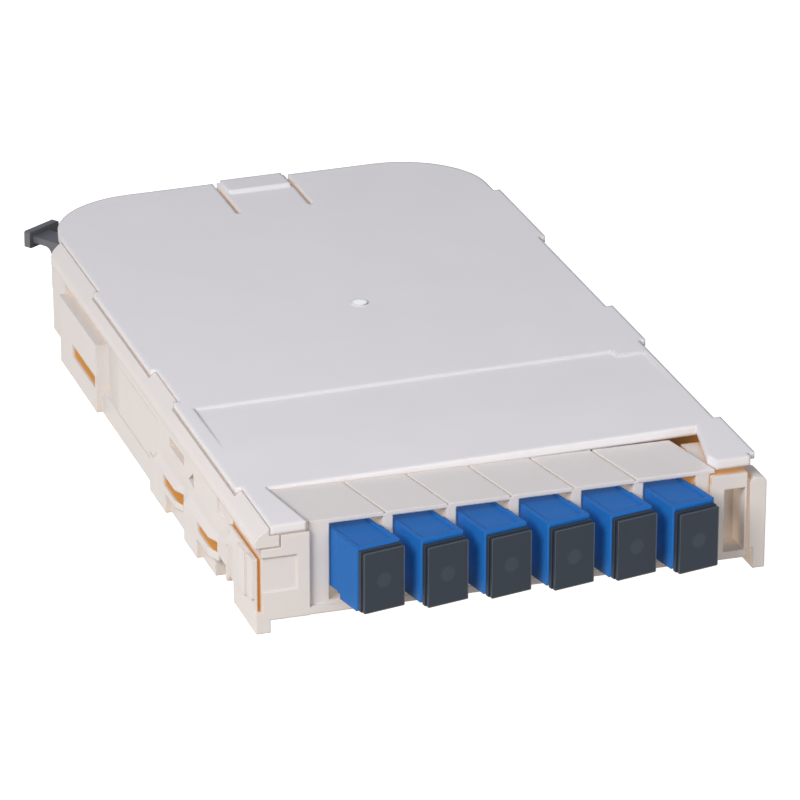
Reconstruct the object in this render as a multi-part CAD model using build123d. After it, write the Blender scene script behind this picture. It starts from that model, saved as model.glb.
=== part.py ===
from build123d import *
import math
import os

os.makedirs("parts", exist_ok=True)

# Working frame in mm: X to the module's right, Y to its rear, Z up. X = 0 and Y = 0 are near the front
# left foot and Z = 0 is the surface the feet stand on. Every part is moved at the end, so that the middle
# of the whole module is at X = Y = 0.

# Tray
TRAY_LEFT = -1.1
TRAY_RIGHT = 100.9
TRAY_REAR = 176.6
WALL = 2.0
FLOOR_UNDER = 2.7
FLOOR_TOP = 4.2
SHOULDER = 17.45
REAR_WALL_TOP = 19.6
STRAIGHT_END = 156.0
SIDE_END_R = 3.0
DOME_LEFT = 2.55
DOME_RIGHT = 96.9
DOME_R = 21.4
MID_X = (TRAY_LEFT + TRAY_RIGHT) / 2

# Rails the module stands on, below the side walls: start and end along Y
RAIL_WIDTH = 2.8
FRONT_LEG = 15.4
RAIL = (27.8, 143.0)
WALL_UNDER = 5.2
REAR_UNDER = 3.2

# Outer pads on the side walls: foot start and end, face front end, face rear end, face underside and top,
# length over which the face's front end fades into the wall
PAD_PROUD = 1.2
PADS = [
    (36.75, 46.1, 25.5, 46.1, 4.0, 9.4, 3.0),
    (59.3, 71.3, 49.5, 71.3, 4.0, 9.2, 3.0),
]
# The rear pad stands the full height of the wall, up to the recess below the band: start, end, top
REAR_PAD = (112.8, 142.8, 14.9)
# Windows through pad and wall: start, end, bottom, top
WINDOWS = [(25.9, 36.3, 5.9, 7.9), (49.9, 61.0, 5.5, 7.7), (114.0, 132.5, 5.0, 7.6)]
# Shallow panel, and the scoop in front of the rear pad: start, end, bottom, top
PANEL_DEEP = 0.2
PANEL = (68.7, 100.0, 4.9, 15.7)
# Recesses below the band leave a thin skin of the wall
RECESS_DEEP = 1.4
STRIP = (49.8, 60.4, 13.9, 15.8)
SLIT_GROOVE = (18.0, 12.6, 26.2, 13.8)
SLIT_GROOVE_DEEP = 0.8
HOOK_HOLE = [(46.5, 12.5), (43.0, 15.0), (42.6, 12.0)]

# Band: the walls' sloped top, with the ledge that the lid lies on
BAND_LEFT = -1.25
BAND_UNDER = 17.4
BAND_LIP = 19.3
BAND_TOP = 21.5
BAND_ROUND = 2.0
BAND_WIDE = 4.8
BAND_END = 155.9
BAND_END_R = 2.5
LEDGE_THICK = 1.2

# Front corner blocks
BLOCK_RIGHT = 9.5
BLOCK_LEFT = 0.1
BLOCK_UNDER = 2.6
BLOCK_TOP = 19.75
BLOCK_SKIN = 1.5
# Shadow groove on the block's front, below and beside the band's end: width, depth, lower and upper height,
# right end
BLOCK_LINE = (0.3, 0.4, 17.2, 19.75, 3.9)
BLOCK_DIMPLE = (7.0, 8.4, 15.4, 0.35)
END_BLOCK_LEFT = 89.6
END_BLOCK_RIGHT = 97.0
END_BLOCK_TOP = 20.2
END_RECESS = (92.3, 3.8, 17.2)
END_RECESS_DEEP = 6.0
POST_LEFT = 97.6
POST_TOP = 19.0
POST_DEEP = 6.0
POST_R = 1.2
LEG_NOTCH = (96.3, 98.45, 4.3)

# Flexible arm moulded into the front left wall
ARM_FRONT = 1.0
ARM_REAR = 18.0
ARM_UNDER = 4.2
ARM_TOP = 15.0
ARM_SKIN = 0.6
ARM_RIB = 0.5
ARM_RIB_WIDTH = 1.0

# Row of ports
PORTS = 6
PITCH = 12.5
ANGLE = 12.0

# Adapter, in its own frame: front face at y = 0, the axis at x = 0, running back along +y. Its seat in the
# pocket block starts at SEAT_START
ADAPTER_W = 9.3
ADAPTER_H = 12.8
ADAPTER_LEN = 27.0
ADAPTER_FACE = (20.4, -8.2)
ADAPTER_BOTTOM = 6.4
COLLAR_LEN = 7.6
COLLAR_STEP = 0.3
COLLAR_UNDERCUT = 1.0
TOP_RAIL = 1.0
TOP_DISH = 0.3
PORT_W = 7.5
PORT_H = 9.1
KEY_W = 3.0
KEY_DEEP = 0.9
PORT_WALL = 1.2
PORT_DEPTH = (ADAPTER_LEN - PORT_WALL) / 2
EDGE = 0.3
SEAT_START = 15.5
SEAT_LEAD = 1.2
DISH_FRONT = 1.4
PASSAGE_CLEAR = 0.3

# Pocket block that carries the adapters
POCKET_LEFT = 9.5
POCKET_FRONT = 0.96
POCKET_REAR = 16.9
POCKET_UNDER = 3.6
POCKET_START = 3.0
POCKET_FOOTROOM = 1.6
POCKET_HEADROOM = 1.3
POCKET_FLOOR = ADAPTER_BOTTOM - POCKET_FOOTROOM
POCKET_CEILING = ADAPTER_BOTTOM + ADAPTER_H + POCKET_HEADROOM
ROOF_THICK = 0.9
ROOF_TOP = POCKET_CEILING + ROOF_THICK
ROOF_RIGHT_FRONT = 87.4
ROOF_LEFT_REAR = 6.6
ROOF_GROOVE = 0.45
ROOF_GROOVE_DEEP = 0.35
ROOF_GROOVE_OFF = 0.15
POCKET_GAP_LEFT = 0.15
POCKET_GAP_RIGHT = 0.95
SEAT_GAP = 0.1

# Sleeve holder, sleeve and plug inside the adapter
WEB = 1.2
TUBE_R = 2.2
TUBE_REACH = 5.6
SLEEVE_R = 1.6
SLEEVE_BORE_R = 1.255
SLEEVE_LEN = 11.4
SLEEVE_SLOT = 0.5
HOLDER_FIT = 0.05
CLIP_IN = 2.65
CLIP_OUT = 3.25
CLIP_H = 3.0
CLIP_REACH = 6.8
CLIP_LIP = 0.35
FERRULE_R = 1.25
FERRULE_FIT = 0.005
PLUG_W = 7.3
PLUG_H = 8.9
PLUG_SKIN = 0.9
PLUG_GAP = 0.6
PLUG_CLEAR = 3.1
PLUG_TAIL = 9.5
PLUG_WAIST = 0.5
PLUG_NECK = 1.0
PLUG_NECK_R = 2.6
BOOT_R_START = 2.4
BOOT_R_END = 1.0
BOOT_LEN = 16.0
FIBRE_R = 0.45

# Dust cap
CAP_W = 8.9
CAP_H = 12.4
CAP_LAYER = 1.0
CAP_STEP = 0.35
CAP_BODY_W = 7.1
CAP_BODY_H = 7.8
CAP_SKIN = 0.9
CAP_REACH = 7.5
CAP_MARK_R = 1.5
CAP_MARK_DEEP = 0.12
# How far each cap hangs below the middle of its port
CAP_SAG = (0.1, 0.55, 0.4, 0.5, 0.2, 0.55)

# Lid, built level and then turned about the band's lower left edge
LID_TILT = 1.05
LID_SIDE_GAP = 0.3
LID_SEAT_GAP = 0.05
LID_TAB_THICK = 1.4
LID_THICK = 2.0
LID_TOP = 21.9
LID_LEFT = 1.95
LID_RIGHT = 97.5
LID_TAB_LEFT = 0.6
LID_TAB_RIGHT = 98.9
LEFT_TABS = [(18.9, 62.9), (80.3, 124.8)]
RIGHT_TABS = [(1.5, 19.6), (61.6, 81.0), (122.8, 152.6)]
LID_REAR = 177.4
LID_CORNER_R = 20.0
LID_FRONT = 17.2
EAR_LEFT_IN = (6.16, 9.12)
EAR_RIGHT_IN = (93.1, 89.9, 90.7)
EAR_CHAMFER_Y = 3.1
SNAP_SLOTS = (41.2, 57.4)
SNAP_SLOT_WIDE = 0.9
SNAP_SLOT_FRONT = 158.3
SNAP_BAND = 169.4
SNAP_RISE = 0.7
SNAP_OUT = 0.5
SNAP_LEG_UNDER = 15.5
LABEL_LEFT = 3.57
LABEL_RIGHT = 96.4
LABEL_STEP = 58.4
LABEL_FADE = 37.2
LABEL_DEEP = 0.45
LABEL_JOG = (88.0, 2.6)
GATE = (50.6, 100.1, 1.7, 0.25)

# Release latch in the rear left corner
LATCH_PIVOT = (8.7, 155.6)
LATCH_ANGLE = 34.4
LATCH_REACH = 15.9
LATCH_SWING = 8.0
PIN_R = 1.5
PIN_FIT = 0.06
PIN_TOP = 13.2
EYE_R = 2.9
LATCH_ARM = (-3.2, 1.95)
LATCH_UNDER = 9.0
LATCH_HUB_TOP = 12.8
LATCH_RISER = (7.3, 9.3)
LATCH_NECK = 18.2
LATCH_TOP = 19.65
LATCH_BEND_R = 1.8
LATCH_SLOT_CLEAR = 0.5
LATCH_SLOT_START = 1.0
GRIP = (-4.45, 4.95)
GRIP_THICK = 1.6
GRIP_UNDER = 17.2
GRIP_TOP = 20.9
GRIP_R = 0.45
BOSS_R = 3.4

# Fibre management on the tray floor
DRUM = (50.0, 128.0)
DRUM_R = 27.0
DRUM_WALL = 1.4
DRUM_TOP = 13.0
DRUM_GAP = 9.0
TAB_LONG = 6.0
TAB_WIDE = 5.0
TAB_THICK = 1.2
TONGUES_Y = (78.0, 118.0)
LANE_LEFT = 5.0
LANE_CLEAR = 4.0
LANE_PITCH = (DRUM[0] - LANE_LEFT - DRUM_R - LANE_CLEAR) / (PORTS - 1)
LANE_Z = 4.95
BOOT_RUN = 9.0
DIAGONAL = 0.9
HOLDER_FRONT = 62.0
HOLDER_REAR = 104.0
HOLDER_TOP = 9.4
HOLDER_BASE = 1.0
HOLDER_EDGE = 1.9
SPLICE_WALL = 1.0
SPLICE_SLOT = LANE_PITCH - SPLICE_WALL
SPLICE_IN = 14.0
INLET = (8.0, 6.0, 15.0)


def box(x0, x1, y0, y1, z0, z1):
    # A block from its low to its high corner
    low = (min(x0, x1), min(y0, y1), min(z0, z1))
    size = (abs(x1 - x0), abs(y1 - y0), abs(z1 - z0))
    return Pos(*low) * Box(*size, align=(Align.MIN, Align.MIN, Align.MIN))


def prism_y(points, y0, y1):
    # A closed outline in X and Z, drawn from y0 to y1
    face = make_face(Polyline(*[(x, y0, z) for x, z in points], close=True))
    return extrude(face, amount=y1 - y0, dir=(0, 1, 0))


def prism_x(points, x0, x1):
    # A closed outline in Y and Z, drawn from x0 to x1
    face = make_face(Polyline(*[(x0, y, z) for y, z in points], close=True))
    return extrude(face, amount=x1 - x0, dir=(1, 0, 0))


def prism_z(points, z0, z1):
    # A closed outline in X and Y, drawn from z0 to z1
    face = make_face(Polyline(*[(x, y, z0) for x, y in points], close=True))
    return extrude(face, amount=z1 - z0, dir=(0, 0, 1))


def rod(x, y, radius, z0, z1):
    return Pos(x, y, z0) * Cylinder(radius, z1 - z0, align=(Align.CENTER, Align.CENTER, Align.MIN))


def rod_y(radius, y0, y1):
    # A round rod along Y through the origin of a part's own frame
    turned = Rot(-90, 0, 0) * Cylinder(radius, y1 - y0, align=(Align.CENTER, Align.CENTER, Align.MIN))
    return Pos(0, y0, 0) * turned


def round_rear(block, y1, radius):
    # Round the two upright edges at the block's rear end
    rear = [e for e in block.edges().filter_by(Axis.Z) if e.center().Y > y1 - 0.1]
    return fillet(rear, radius)


def rounded_plan(inset, z0, z1, front=0.0):
    # The tray's plan, drawn in by the inset: straight sides, then a narrower end with large round corners
    y_side = STRAIGHT_END - inset
    side = box(TRAY_LEFT + inset, TRAY_RIGHT - inset, front, y_side, z0, z1)
    side = round_rear(side, y_side, SIDE_END_R - inset)
    y_dome = TRAY_REAR - inset
    dome = box(DOME_LEFT + inset, DOME_RIGHT - inset, STRAIGHT_END - SIDE_END_R * 4, y_dome, z0, z1)
    return side + round_rear(dome, y_dome, DOME_R - inset)


def mirrored(shape):
    # The same shape on the other side of the tray's middle plane
    return mirror(shape, about=Plane.YZ.offset(MID_X))


def in_adapter_frame(shape, index):
    x = ADAPTER_FACE[0] + PITCH * index
    z = ADAPTER_BOTTOM + ADAPTER_H / 2
    return Pos(x, ADAPTER_FACE[1], z) * Rot(0, 0, ANGLE) * shape


def side_wall_cuts():
    # Recesses and through windows of the left wall
    face = TRAY_LEFT
    start, end, low, high = PANEL
    deep = face + PANEL_DEEP
    skin = face + RECESS_DEEP
    pad_front, pad_rear, pad_top = REAR_PAD
    cuts = [box(face - 1, deep, start, end + 0.1, low, high)]
    scoop = [(face - 1, end), (deep, end), (skin, pad_front), (face - 1, pad_front)]
    cuts.append(prism_z(scoop, low, BAND_UNDER))
    cuts.append(box(face - PAD_PROUD - 1, skin, pad_front, pad_rear, pad_top, BAND_UNDER))
    cuts.append(box(face - 1, skin, *STRIP))
    y0, z0, y1, z1 = SLIT_GROOVE
    groove = [(y0, z0), (y1, z1), (y1, BAND_UNDER), (y0, BAND_UNDER)]
    cuts.append(prism_x(groove, face - 1, face + SLIT_GROOVE_DEEP))
    inner = TRAY_LEFT + WALL + 1
    cuts.append(prism_x(HOOK_HOLE, face - 1, inner))
    for w0, w1, wz0, wz1 in WINDOWS:
        cuts.append(box(face - 3, inner, w0, w1, wz0, wz1))
    return cuts


def side_pads():
    # Outer pads: a foot proud of the wall, and a face that slopes back to the wall at its top and front
    out = TRAY_LEFT - PAD_PROUD
    back = TRAY_LEFT + 0.5
    pads = [box(out, back, REAR_PAD[0], REAR_PAD[1], 0, REAR_PAD[2])]
    for foot_start, foot_end, start, end, under, top, fade in PADS:
        pads.append(box(out, back, foot_start, foot_end, 0, under + 0.1))
        points = [(back, under), (out, under), (out, top - PAD_PROUD), (TRAY_LEFT, top), (back, top)]
        face = prism_y(points, start, end)
        wedge = [(out - 1, start - 1), (TRAY_LEFT, start - 1), (TRAY_LEFT, start), (out, start + fade),
                 (out - 1, start + fade)]
        pads.append(face - prism_z(wedge, under - 1, top + 1))
    return pads


def lid_ledge_z():
    # The ledge lies this close below the lid's underside
    return LID_TOP - LID_THICK - LID_SEAT_GAP


def side_band():
    # Left band: upright lip with a round shoulder, slope up to the lid's edge, and the ledge below the lid
    x0 = BAND_LEFT
    x1 = BAND_LEFT + BAND_WIDE
    edge = LID_LEFT - LID_SIDE_GAP
    ledge = lid_ledge_z()
    points = [(x0, BAND_UNDER), (x0, BAND_LIP), (edge, BAND_TOP), (edge, ledge), (x1, ledge),
              (x1, ledge - LEDGE_THICK), (TRAY_LEFT + WALL, BAND_UNDER)]
    band = prism_y(points, 0, BAND_END)
    outside = [e for e in band.edges().filter_by(Axis.Y) if e.center().X < x0 + 0.01]
    band = fillet([e for e in outside if e.center().Z > BAND_LIP - 0.01], BAND_ROUND)
    limit = box(x0, x1 + 8, -1, BAND_END, BAND_UNDER - 1, BAND_TOP + 1)
    outer = [e for e in limit.edges().filter_by(Axis.Z) if e.center().Y > 1 and e.center().X < x0 + 1]
    band &= fillet(outer, BAND_END_R)
    # Seats for the lid's side tabs
    for y0, y1 in LEFT_TABS:
        gap = LID_SIDE_GAP
        band -= box(LID_TAB_LEFT - gap, x1, y0 - gap, y1 + gap, LID_TOP - LID_TAB_THICK - gap, LID_TOP + 1)
    return band


def side_feet():
    # Rail and front leg below the left wall
    left = TRAY_LEFT
    right = TRAY_LEFT + RAIL_WIDTH
    return [box(left, right, 0, FRONT_LEG, 0, FLOOR_TOP), box(left, right, RAIL[0], RAIL[1], 0, FLOOR_TOP)]


def tray_shell():
    # Floor and walls, with the bands along both sides
    low = rounded_plan(0, FLOOR_UNDER, REAR_WALL_TOP)
    hollow = rounded_plan(WALL, FLOOR_TOP, REAR_WALL_TOP + 1, front=POCKET_REAR)
    shell = low - hollow
    trim = box(TRAY_LEFT - 1, BAND_LEFT + BAND_WIDE, -1, BAND_END, SHOULDER, REAR_WALL_TOP + 1)
    front = box(TRAY_LEFT - 1, TRAY_RIGHT + 1, -1, POCKET_REAR, FLOOR_TOP, REAR_WALL_TOP + 1)
    rear_low = box(TRAY_LEFT - 1, TRAY_LEFT + RAIL_WIDTH, RAIL[1], STRAIGHT_END + 1, 0, REAR_UNDER)
    notch = box(TRAY_LEFT - 1, TRAY_LEFT + RAIL_WIDTH, FRONT_LEG, RAIL[0], 0, WALL_UNDER)
    shell -= [trim, mirrored(trim), front, rear_low, mirrored(rear_low), notch, mirrored(notch)]
    return shell


def front_left_block():
    # Corner block with its shallow face dimple and hollow back
    solid = box(BLOCK_LEFT, BLOCK_RIGHT, 0, POCKET_REAR, BLOCK_UNDER, BLOCK_TOP)
    right, z0, z1, deep = BLOCK_DIMPLE
    solid -= box(BLOCK_LEFT - 1, right, -1, deep, z0, z1)
    x0 = BLOCK_LEFT + BLOCK_SKIN
    z1 = BAND_UNDER - BLOCK_SKIN
    solid -= box(x0, BLOCK_RIGHT + 1, BLOCK_SKIN + deep, POCKET_REAR + 1, FLOOR_TOP, z1)
    return solid


def block_lines():
    # Grooves that set the band's front end off from the block
    wide, deep, z0, z1, x1 = BLOCK_LINE
    low = box(BAND_LEFT - 1, x1, -1, deep, z0, z0 + wide)
    return [low, box(x1 - wide, x1, -1, deep, z0, z1 + 1)]


def flexible_arm():
    # Thin arm cut free from the wall, with grip ribs on its face
    out = TRAY_LEFT - ARM_RIB
    face = TRAY_LEFT
    arm = box(face, face + ARM_SKIN, ARM_FRONT, ARM_REAR + 1.2, ARM_UNDER, ARM_TOP)
    pad = box(out, face, ARM_FRONT, ARM_FRONT + 3.4, ARM_UNDER + 2.2, ARM_TOP)
    bottom = [e for e in pad.edges().filter_by(Axis.X) if e.center().Z < ARM_UNDER + 3]
    arm += fillet(bottom, 0.9)
    arm += box(out, face + ARM_SKIN, ARM_REAR - 0.2, ARM_REAR - 0.2 + ARM_RIB_WIDTH, ARM_UNDER - 0.9, 10.5)
    arm += box(out, face, ARM_FRONT + 5.2, ARM_FRONT + 9.6, ARM_UNDER + 1.2, ARM_TOP - 0.6)
    return arm


def front_right_corner():
    # Hollow end block, corner post with a round top, and the notch above the foot
    x0 = END_BLOCK_LEFT
    x1 = END_BLOCK_RIGHT
    block = box(x0, x1, 0, POCKET_REAR, BLOCK_UNDER, END_BLOCK_TOP)
    rx, rz0, rz1 = END_RECESS
    block -= box(rx, x1 - 0.5, -1, END_RECESS_DEEP, rz0, rz1)
    block -= box(x0 + BLOCK_SKIN, x1 - BLOCK_SKIN, END_RECESS_DEEP + BLOCK_SKIN, POCKET_REAR + 1, FLOOR_TOP,
                 END_BLOCK_TOP - BLOCK_SKIN)
    web = box(x1 - 0.5, POST_LEFT + 0.5, POST_R + 1, POCKET_REAR, BLOCK_UNDER, SHOULDER - 0.3)
    post = box(POST_LEFT, TRAY_RIGHT, 0, POST_DEEP, 0, POST_TOP)
    crown = [e for e in post.edges().filter_by(Axis.Y) if e.center().Z > POST_TOP - 1]
    post = fillet(crown, POST_R)
    wall = box(TRAY_RIGHT - WALL, TRAY_RIGHT, POST_DEEP, POCKET_REAR + 0.5, WALL_UNDER, SHOULDER)
    leg = box(TRAY_RIGHT - WALL, TRAY_RIGHT, POST_DEEP, FRONT_LEG, 0, WALL_UNDER)
    corner = block + web + post + wall + leg
    nx0, nx1, nz = LEG_NOTCH
    corner -= box(nx0, nx1, -1, FRONT_LEG + 1, -1, nz)
    return corner


def pocket_block():
    # Frame with one angled pocket for each adapter, and a roof plate over each
    right_rear = ROOF_RIGHT_FRONT - (POCKET_REAR - POCKET_FRONT) * math.tan(math.radians(ANGLE))
    plan = [
        (POCKET_LEFT, POCKET_FRONT),
        (ROOF_RIGHT_FRONT, POCKET_FRONT),
        (right_rear, POCKET_REAR),
        (POCKET_LEFT, POCKET_REAR),
    ]
    body = prism_z(plan, POCKET_UNDER, ROOF_TOP)
    # The roof runs on to the left, to the slanting edge of the lid
    side = [(POCKET_LEFT, POCKET_FRONT), (POCKET_LEFT, POCKET_REAR), (ROOF_LEFT_REAR, POCKET_REAR)]
    body += prism_z(side, BLOCK_TOP - BLOCK_SKIN, ROOF_TOP)
    sill = box(POCKET_LEFT, END_BLOCK_LEFT + 0.5, POCKET_FRONT, POCKET_REAR + 0.5, POCKET_UNDER, FLOOR_TOP)
    half = ADAPTER_W / 2
    z_mid = ADAPTER_BOTTOM + ADAPTER_H / 2
    through = ADAPTER_LEN + 4
    for i in range(PORTS):
        x0 = -half - POCKET_GAP_LEFT
        x1 = half + POCKET_GAP_RIGHT
        wide = box(x0, x1, POCKET_START, SEAT_START, POCKET_FLOOR - z_mid, POCKET_CEILING - z_mid)
        z0 = ADAPTER_BOTTOM - z_mid
        z1 = z0 + ADAPTER_H + SEAT_GAP
        tight = box(-half - SEAT_GAP, half + SEAT_GAP, SEAT_START - 1, through, z0, z1)
        body -= [in_adapter_frame(wide, i), in_adapter_frame(tight, i)]
        groove_x = half + POCKET_GAP_RIGHT + ROOF_GROOVE_OFF
        groove_z = ROOF_TOP - z_mid - ROOF_GROOVE_DEEP
        groove = box(groove_x, groove_x + ROOF_GROOVE, POCKET_START, through, groove_z, groove_z + 1)
        if i < PORTS - 1:
            body -= in_adapter_frame(groove, i)
    return body + sill


def adapter():
    # Housing: full size collar in front, slightly smaller body behind, open port at each end
    half = ADAPTER_W / 2
    z0 = -ADAPTER_H / 2
    z1 = ADAPTER_H / 2
    body = box(-half, half, 0, ADAPTER_LEN, z0, z1)
    rim = [e for e in body.edges() if e.center().Y < 0.01]
    body = chamfer(rim, EDGE)
    step = COLLAR_STEP
    step_end = SEAT_START - SEAT_LEAD
    body -= box(-half - 1, -half + step, COLLAR_LEN, step_end, z0 - 1, z1 + 1)
    body -= box(half - step, half + 1, COLLAR_LEN, step_end, z0 - 1, z1 + 1)
    body -= box(-half - 1, half + 1, COLLAR_LEN - 1, step_end, z0 - 1, z0 + COLLAR_UNDERCUT)
    dish = half - TOP_RAIL
    body -= box(-dish, dish, DISH_FRONT, step_end, z1 - TOP_DISH, z1 + 1)
    w = PORT_W / 2
    h = PORT_H / 2
    port = box(-w, w, -1, PORT_DEPTH, -h, h)
    rear_port = box(-w, w, ADAPTER_LEN - PORT_DEPTH, ADAPTER_LEN + 1, -h, h)
    key = box(-KEY_W / 2, KEY_W / 2, -1, PORT_DEPTH, 0, h + KEY_DEEP)
    passage = rod_y(TUBE_R + HOLDER_FIT + PASSAGE_CLEAR, 0, ADAPTER_LEN)
    return body - [port, rear_port, key, passage]


def sleeve_holder():
    # Tube round the sleeve, with a web that seats on the wall between the ports and two spring clips
    middle = ADAPTER_LEN / 2
    front = PORT_DEPTH
    web = box(-PORT_W / 2, PORT_W / 2, front - WEB, front, -PORT_H / 2, PORT_H / 2)
    tube = rod_y(TUBE_R, middle - TUBE_REACH, middle + TUBE_REACH)
    part = web + tube
    for sign in (-1, 1):
        y0 = front - WEB - CLIP_REACH
        clip = box(sign * CLIP_IN, sign * CLIP_OUT, y0, front - WEB, -CLIP_H / 2, CLIP_H / 2)
        x0 = sign * CLIP_IN
        x1 = sign * (CLIP_IN - CLIP_LIP)
        lip = box(x0, x1, y0, y0 + 1.2, -CLIP_H / 2, CLIP_H / 2)
        part += clip + lip
    return part - rod_y(SLEEVE_R + HOLDER_FIT, 0, ADAPTER_LEN)


def sleeve():
    # Slotted alignment sleeve
    middle = ADAPTER_LEN / 2
    tube = rod_y(SLEEVE_R, middle - SLEEVE_LEN / 2, middle + SLEEVE_LEN / 2)
    tube -= rod_y(SLEEVE_BORE_R, 0, ADAPTER_LEN)
    return tube - box(-SLEEVE_SLOT / 2, SLEEVE_SLOT / 2, 0, ADAPTER_LEN, 0, SLEEVE_R + 1)


def plug():
    # Inner connector: ferrule, body with an open nose, and a round neck for the boot
    middle = ADAPTER_LEN / 2
    nose = ADAPTER_LEN - PORT_DEPTH + PLUG_GAP
    hollow_end = middle + TUBE_REACH + PLUG_CLEAR
    end = ADAPTER_LEN + PLUG_TAIL
    w = PLUG_W / 2
    h = PLUG_H / 2
    body = box(-w, w, nose, end, -h, h)
    body -= box(-w + PLUG_SKIN, w - PLUG_SKIN, nose - 1, hollow_end, -h + PLUG_SKIN, h - PLUG_SKIN)
    for sign in (-1, 1):
        waist = box(sign * (w - PLUG_WAIST), sign * PLUG_W, ADAPTER_LEN + 2.0, end - 1.5, -PLUG_H, PLUG_H)
        body -= waist
    body += rod_y(PLUG_NECK_R, end, end + PLUG_NECK)
    ferrule = rod_y(FERRULE_R - FERRULE_FIT, middle, hollow_end + 0.5)
    return body + ferrule


def boot():
    # Tapered strain relief, moulded on the fibre, which leaves it at the thin end
    start = ADAPTER_LEN + PLUG_TAIL + PLUG_NECK
    taper = Cone(BOOT_R_START, BOOT_R_END, BOOT_LEN, align=(Align.CENTER, Align.CENTER, Align.MIN))
    return Pos(0, start, 0) * Rot(-90, 0, 0) * taper


def dust_cap():
    # Double front plate and two tongues that go into the port
    out = 2 * CAP_LAYER
    w = CAP_W / 2
    h = CAP_H / 2
    front = box(-w, w, -out, -CAP_LAYER, -h, h)
    rim = [e for e in front.edges() if e.center().Y < -out + 0.01]
    front = chamfer(rim, 0.15)
    back = box(-w + CAP_STEP, w - CAP_STEP, -CAP_LAYER, 0, -h + CAP_STEP, h - CAP_STEP)
    bw = CAP_BODY_W / 2
    bh = CAP_BODY_H / 2
    body = box(-bw, bw, 0, CAP_REACH, -bh, bh)
    body -= box(-bw - 1, bw + 1, 0, CAP_REACH + 1, -bh + CAP_SKIN, bh - CAP_SKIN)
    mark = Pos(0, -out, 0) * rod_y(CAP_MARK_R, -1, CAP_MARK_DEEP)
    return front + back + body - mark


def lid_plate():
    # Flat plate with side tabs, round rear corners, a cut-out for the pocket block and two front ears
    z0 = LID_TOP - LID_THICK
    plate = box(LID_LEFT, LID_RIGHT, 0, LID_REAR, z0, LID_TOP)
    rear = [e for e in plate.edges().filter_by(Axis.Z) if e.center().Y > LID_REAR - 1]
    plate = fillet(rear, LID_CORNER_R)
    for y0, y1 in LEFT_TABS:
        plate += box(LID_TAB_LEFT, LID_LEFT + 1, y0, y1, LID_TOP - LID_TAB_THICK, LID_TOP)
    for y0, y1 in RIGHT_TABS:
        plate += box(LID_RIGHT - 1, LID_TAB_RIGHT, y0, y1, LID_TOP - LID_TAB_THICK, LID_TOP)
    cut = [
        (EAR_LEFT_IN[0], LID_FRONT),
        (EAR_LEFT_IN[1], -1),
        (EAR_RIGHT_IN[2], -1),
        (EAR_RIGHT_IN[2], 0),
        (EAR_RIGHT_IN[1], EAR_CHAMFER_Y),
        (EAR_RIGHT_IN[0], LID_FRONT),
    ]
    return plate - prism_z(cut, z0 - 1, LID_TOP + 1)


def lid_tilted(shape):
    # The lid's closed position: its right side stands a little proud
    edge = (BAND_LEFT, 0, BAND_UNDER)
    return Pos(*edge) * Rot(0, -LID_TILT, 0) * Pos(-edge[0], 0, -edge[2]) * shape


def lid():
    part = lid_plate()
    # Label recess, deepest at its rear step and fading out to the front
    z_step = LID_TOP - LABEL_DEEP
    slope = [(LABEL_FADE, LID_TOP), (LABEL_STEP, z_step), (LABEL_STEP, LID_TOP)]
    label = prism_x(slope, LABEL_LEFT, LABEL_RIGHT)
    jog_x, jog_size = LABEL_JOG
    jog = box(jog_x + jog_size, LABEL_RIGHT, LABEL_STEP - jog_size, LABEL_STEP + 1, 0, LID_TOP + 1)
    part -= label - jog
    # Snap tab at the rear edge, between two slots, with its thick end band and outer leg
    for x in SNAP_SLOTS:
        part -= box(x, x + SNAP_SLOT_WIDE, SNAP_SLOT_FRONT, LID_REAR + 1, 0, LID_TOP + 1)
    b0 = SNAP_SLOTS[0] + SNAP_SLOT_WIDE + 0.9
    b1 = SNAP_SLOTS[1] - 0.6
    rear = LID_REAR + SNAP_OUT
    points = [(SNAP_BAND, LID_TOP - 0.5), (SNAP_BAND, LID_TOP), (SNAP_BAND + 1.2, LID_TOP + SNAP_RISE),
              (rear, LID_TOP + SNAP_RISE - 0.3), (rear, LID_TOP - 0.5)]
    part += prism_x(points, b0, b1)
    leg_front = TRAY_REAR + 0.3
    part += box(b0, b1, leg_front, rear, SNAP_LEG_UNDER, LID_TOP)
    # Round moulding point in the middle of the plate
    x, y, radius, rise = GATE
    cap = box(x - radius - 1, x + radius + 1, y - radius - 1, y + radius + 1, LID_TOP - 0.5, LID_TOP + rise)
    part += Pos(x, y, LID_TOP) * Sphere(radius) & cap
    return lid_tilted(part)


def latch_plan(shape):
    # From the latch's own frame, with its pivot at the origin and its arm along +Y, to the tray
    return Pos(LATCH_PIVOT[0], LATCH_PIVOT[1], 0) * Rot(0, 0, LATCH_ANGLE) * shape


def release_latch():
    # Eye on the pin, a flat arm that rises outside the corner wall and bends out, and a cross bar to pull
    eye = rod(0, 0, EYE_R, LATCH_UNDER, LATCH_HUB_TOP)
    end = LATCH_REACH - GRIP_THICK
    inner, outer = LATCH_RISER
    points = [(0, LATCH_UNDER), (outer, LATCH_UNDER), (outer, LATCH_NECK), (end + 0.2, LATCH_NECK),
              (end + 0.2, LATCH_TOP), (inner, LATCH_TOP), (inner, LATCH_HUB_TOP), (0, LATCH_HUB_TOP)]
    arm = prism_x(points, *LATCH_ARM)
    across = arm.edges().filter_by(Axis.X)
    bend = [e for e in across if abs(e.center().Y - outer) < 0.01 and e.center().Z > LATCH_NECK - 0.01]
    arm = fillet(bend, LATCH_BEND_R)
    grip = box(GRIP[0], GRIP[1], end, end + GRIP_THICK, GRIP_UNDER, GRIP_TOP)
    grip = fillet(grip.edges().filter_by(Axis.Y), GRIP_R)
    part = eye + arm + grip - rod(0, 0, PIN_R + PIN_FIT, 0, LATCH_TOP + 1)
    return latch_plan(part)


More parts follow.
